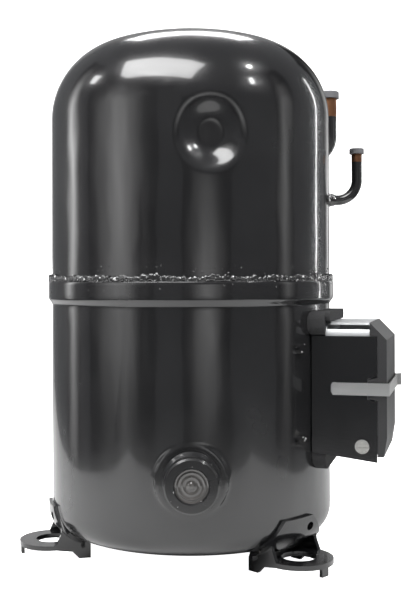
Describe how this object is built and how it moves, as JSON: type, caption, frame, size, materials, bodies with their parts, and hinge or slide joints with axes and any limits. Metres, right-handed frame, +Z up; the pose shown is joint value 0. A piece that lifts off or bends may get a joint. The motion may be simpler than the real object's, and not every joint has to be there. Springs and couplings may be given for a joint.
{
  "type": "scroll compressor",
  "caption": "Hermetic refrigerant scroll compressor: welded black shell on feet, terminal box, oil sight glass, capped suction and discharge stubs, full pump and motor inside.",
  "frame": {"origin": "centre of the foot-hole circle, in the plane of the foot plates' underside", "axes": "+Z up along the shell's axis, +X towards the terminal box, one foot at +Y"},
  "size_m": [0.3271, 0.3068, 0.467],
  "materials": {
    "shell_paint": "gloss",
    "weld_paint": "rough gloss",
    "foot_paint": "gloss",
    "box_paint": "satin",
    "cover_grey": "satin",
    "zinc_sheet": "bright zinc",
    "strap_steel": "brushed",
    "screw_zinc": "zinc",
    "stud_paint": "gloss",
    "foam": "granular",
    "copper": "dull copper",
    "plug_grey": "matte",
    "sight_paint": "gloss",
    "lens_glass": "clear",
    "seal_grey": "matte",
    "cast": "machined",
    "steel": "machined",
    "aluminium": "cast",
    "bronze": "bearing",
    "winding": "enamelled",
    "lamination": "stacked",
    "plastic_dark": "moulded",
    "lead_cover": "braided",
    "seal_glass": "fused"
  },
  "bodies": {
    "casing": {"lower_shell": "shell_paint", "upper_shell": "shell_paint", "belly_weld": "weld_paint", "foot_right": "foot_paint", "foot_left": "foot_paint", "foot_rear": "foot_paint", "sight_spud": "sight_paint", "sight_ring": "sight_paint", "sight_lens": "lens_glass", "sight_gasket": "seal_grey", "suction_stub": "shell_paint", "discharge_stub": "shell_paint", "suction_weld": "weld_paint", "discharge_weld": "weld_paint", "suction_copper_end": "copper", "discharge_copper_end": "copper", "terminal_cup": "steel", "terminal_glass": "seal_glass", "terminal_pins": "steel", "terminal_block": "plastic_dark", "lead_connector": "plastic_dark", "motor_leads": "lead_cover", "box_body": "box_paint", "box_tray": "zinc_sheet", "box_gasket": "foam", "ground_screw": "screw_zinc", "box_studs": "stud_paint", "fixed_scroll": "cast", "main_frame": "cast", "main_bush": "bronze", "scroll_bolts": "steel", "valve_guard": "steel", "muffler_cover": "steel", "stator_core": "lamination", "stator_winding": "winding", "stator_bolts": "steel", "lower_bracket": "cast", "lower_bush": "bronze", "thrust_washer": "steel"},
    "crank": {"crankshaft": "steel", "rotor_core": "lamination", "rotor_rings": "aluminium", "upper_counterweight": "bronze", "lower_counterweight": "bronze", "oil_pickup": "steel"},
    "orbiter": {"orbiting_scroll": "cast", "scroll_bearing": "bronze"},
    "oldham": {"oldham_ring": "aluminium"},
    "valve": {"discharge_valve": "steel"},
    "strap": {"box_strap": "strap_steel"},
    "cover": {"box_cover": "cover_grey"},
    "suction_cap": {"suction_plug": "plug_grey"},
    "discharge_cap": {"discharge_plug": "plug_grey"}
  },
  "joints": [
    {"name": "crank_spin", "type": "hinge", "parent": "casing", "child": "crank", "pos_m": [0, 0, 0.2], "axis": [0, 0, 1], "continuous": true},
    {"name": "scroll_orbit", "type": "hinge", "parent": "crank", "child": "orbiter", "pos_m": [0.0059, 0, 0.33], "axis": [0, 0, 1], "continuous": true},
    {"name": "oldham_slide", "type": "slide", "parent": "casing", "child": "oldham", "axis": [0, 1, 0], "range_m": [-0.0059, 0.0059]},
    {"name": "discharge_valve_lift", "type": "slide", "parent": "casing", "child": "valve", "axis": [0, 0, 1], "range_m": [0, 0.0025]},
    {"name": "strap_pull", "type": "slide", "parent": "casing", "child": "strap", "axis": [1, 0, 0], "range_m": [0, 0.12]},
    {"name": "cover_pull", "type": "slide", "parent": "casing", "child": "cover", "axis": [1, 0, 0], "range_m": [0, 0.08]},
    {"name": "suction_cap_pull", "type": "slide", "parent": "casing", "child": "suction_cap", "axis": [0, 0, 1], "range_m": [0, 0.04]},
    {"name": "discharge_cap_pull", "type": "slide", "parent": "casing", "child": "discharge_cap", "axis": [0, 0, 1], "range_m": [0, 0.04]}
  ],
  "couplings": [
    {"joint": "scroll_orbit", "follows": "crank_spin", "ratio": -1},
    {"joint": "cover_pull", "follows": "strap_pull", "ratio": 0.6666}
  ]
}
